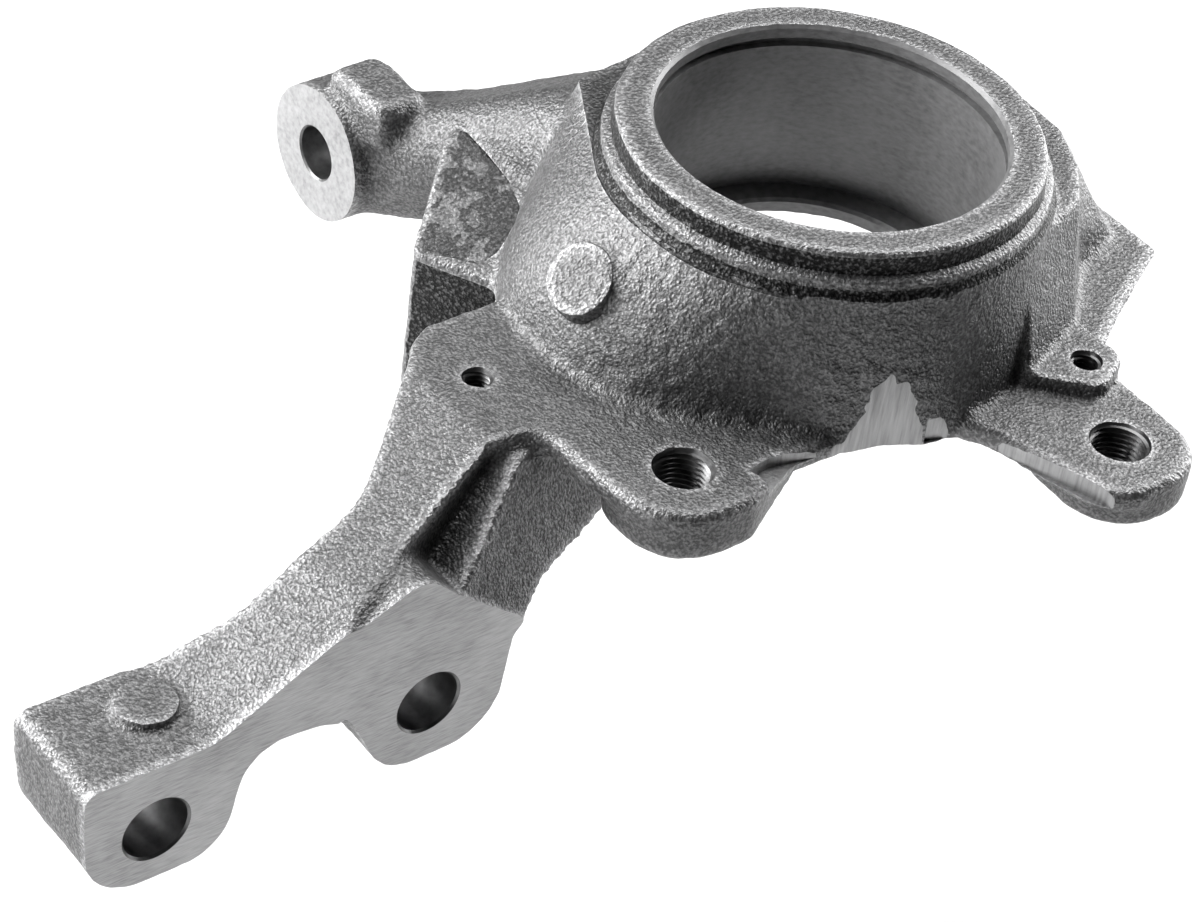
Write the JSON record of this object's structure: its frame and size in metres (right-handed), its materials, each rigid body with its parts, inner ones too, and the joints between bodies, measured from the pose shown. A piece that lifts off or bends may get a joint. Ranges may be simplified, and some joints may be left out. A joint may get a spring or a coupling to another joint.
{
  "type": "steering knuckle",
  "caption": "Cast steering knuckle with a bearing bore, clamped strut arm, tie rod arm, ball joint boss and caliper ears.",
  "frame": {"origin": "on the wheel bearing bore's axis, in the plane of the collar's rim", "axes": "+Z outboard along the wheel bearing bore; +X along the strut bolts, out of the milled strut face; the strut arm points to -Y, which is up on the vehicle, and the ball joint to +Y"},
  "size_m": [0.2013, 0.2629, 0.0985],
  "materials": {
    "cast_iron": "raw sand-cast skin, machined faces smooth"
  },
  "bodies": {
    "root": {"knuckle": "cast_iron"}
  },
  "joints": []
}
